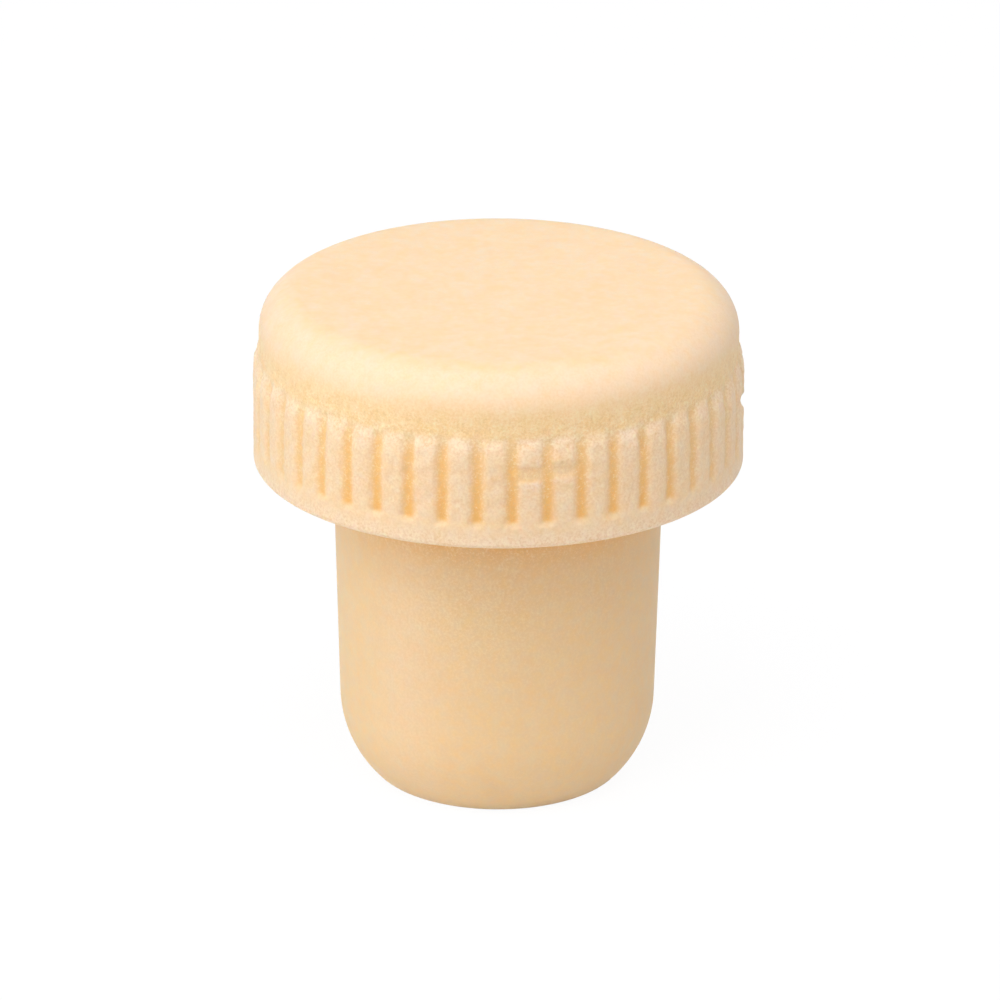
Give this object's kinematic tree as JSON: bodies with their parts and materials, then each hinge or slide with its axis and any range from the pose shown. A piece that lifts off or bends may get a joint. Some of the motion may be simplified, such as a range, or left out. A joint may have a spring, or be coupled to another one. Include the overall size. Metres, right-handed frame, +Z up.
{
  "type": "cork stopper",
  "caption": "Moulded synthetic-cork bottle stopper: a wide flat-topped cap with a ribbed edge on a slightly tapered plug with a rounded tip and a flat foot.",
  "frame": {"origin": "centre of the flat foot under the shank, on the axis, at the lowest point", "axes": "+Z up along the axis, from the foot to the cap's top; -Y is the side with the two chipped ribs"},
  "size_m": [0.029, 0.029, 0.0303],
  "materials": {
    "cork": "matt foamed polymer skin with a fine mottle"
  },
  "bodies": {
    "root": {"stopper": "cork"}
  },
  "joints": []
}
